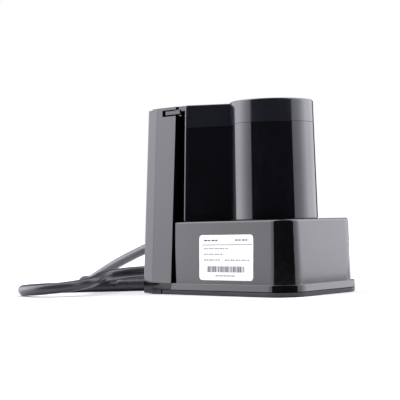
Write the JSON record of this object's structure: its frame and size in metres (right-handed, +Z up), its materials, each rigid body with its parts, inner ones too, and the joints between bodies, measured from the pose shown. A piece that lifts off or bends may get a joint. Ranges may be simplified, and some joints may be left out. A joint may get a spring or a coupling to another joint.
{
  "type": "lidar scanner module",
  "caption": "Two-dimensional laser scanner: glossy black L-shaped housing, round infrared window with cap over a spinning mirror, and two rear cables ending in threaded round plugs.",
  "frame": {"origin": "middle of the footprint, on the surface that the scanner stands on", "axes": "+X out of the round front window, -Y out of the face with the rating label, +Z up along the scan axis; the cables leave towards -X"},
  "size_m": [0.2754, 0.1866, 0.1315],
  "materials": {
    "housing_black": "high gloss moulded ABS",
    "cover_black": "high gloss moulded ABS",
    "base_black": "semi-gloss moulded ABS",
    "window_black": "polished infrared-pass polycarbonate, black to the eye",
    "cap_black": "gloss moulded ABS",
    "seal_rubber": "matte",
    "label_white": "satin film",
    "machined_aluminium": "fine turned",
    "anodised_black": "matte black anodised",
    "screw_steel": "zinc plated",
    "bearing_steel": "ground",
    "bell_steel": "nickel plated",
    "core_steel": "laminated",
    "magnet_grey": "nickel plated",
    "winding_copper": "enamelled wire",
    "brass_parts": "turned",
    "nut_nickel": "satin nickel",
    "mirror_silver": "polished",
    "lens_glass": "coated",
    "board_green": "solder mask",
    "chip_black": "matte",
    "flex_amber": "satin",
    "moulded_black": "fine satin",
    "cable_jacket": "satin PVC jacket"
  },
  "bodies": {
    "housing": {"base_inserts": "brass_parts", "base_plate": "base_black", "base_screws": "screw_steel", "board_posts": "brass_parts", "board_screws": "screw_steel", "cap_gasket": "seal_rubber", "collimator_lens": "lens_glass", "cover_screws": "screw_steel", "drive_board": "board_green", "drive_board_parts": "chip_black", "encoder_sensor": "board_green", "flat_flex": "flex_amber", "gland_nuts": "moulded_black", "laser_board": "board_green", "laser_diode": "brass_parts", "laser_tube": "anodised_black", "lens_barrel": "anodised_black", "light_detector": "bell_steel", "lower_bearing": "bearing_steel", "main_board": "board_green", "main_board_chips": "chip_black", "main_board_posts": "moulded_black", "main_housing": "housing_black", "motor_base": "machined_aluminium", "motor_screws": "screw_steel", "motor_stator": "core_steel", "motor_windings": "winding_copper", "network_cable": "cable_jacket", "network_gland": "moulded_black", "network_plug_insert": "moulded_black", "network_plug_shell": "moulded_black", "optical_window": "window_black", "optics_posts": "brass_parts", "power_cable": "cable_jacket", "power_gland": "moulded_black", "power_plug_insert": "moulded_black", "power_plug_shell": "moulded_black", "rating_label": "label_white", "rear_cover": "cover_black", "rear_inserts": "brass_parts", "receiver_board": "board_green", "receiver_lens": "lens_glass", "top_cap": "cap_black", "upper_bearing": "bearing_steel", "window_gasket": "seal_rubber"},
    "scanner": {"motor_shaft": "bearing_steel", "rotor_bell": "bell_steel", "rotor_magnets": "magnet_grey", "mirror_carrier": "machined_aluminium", "scan_mirror": "mirror_silver", "balance_weight": "brass_parts", "encoder_disc": "core_steel"},
    "power_nut": {"power_plug_nut": "nut_nickel"},
    "network_nut": {"network_plug_nut": "nut_nickel"}
  },
  "joints": [
    {"name": "scanner_spin", "type": "hinge", "parent": "housing", "child": "scanner", "pos_m": [0.021, 0, 0.06], "axis": [0, 0, 1], "continuous": true},
    {"name": "power_nut_turn", "type": "hinge", "parent": "housing", "child": "power_nut", "pos_m": [-0.12, 0.076, 0.0073], "axis": [1, 0, 0], "continuous": true},
    {"name": "network_nut_turn", "type": "hinge", "parent": "housing", "child": "network_nut", "pos_m": [-0.0862, 0.056, 0.0073], "axis": [0, 1, 0], "continuous": true}
  ]
}
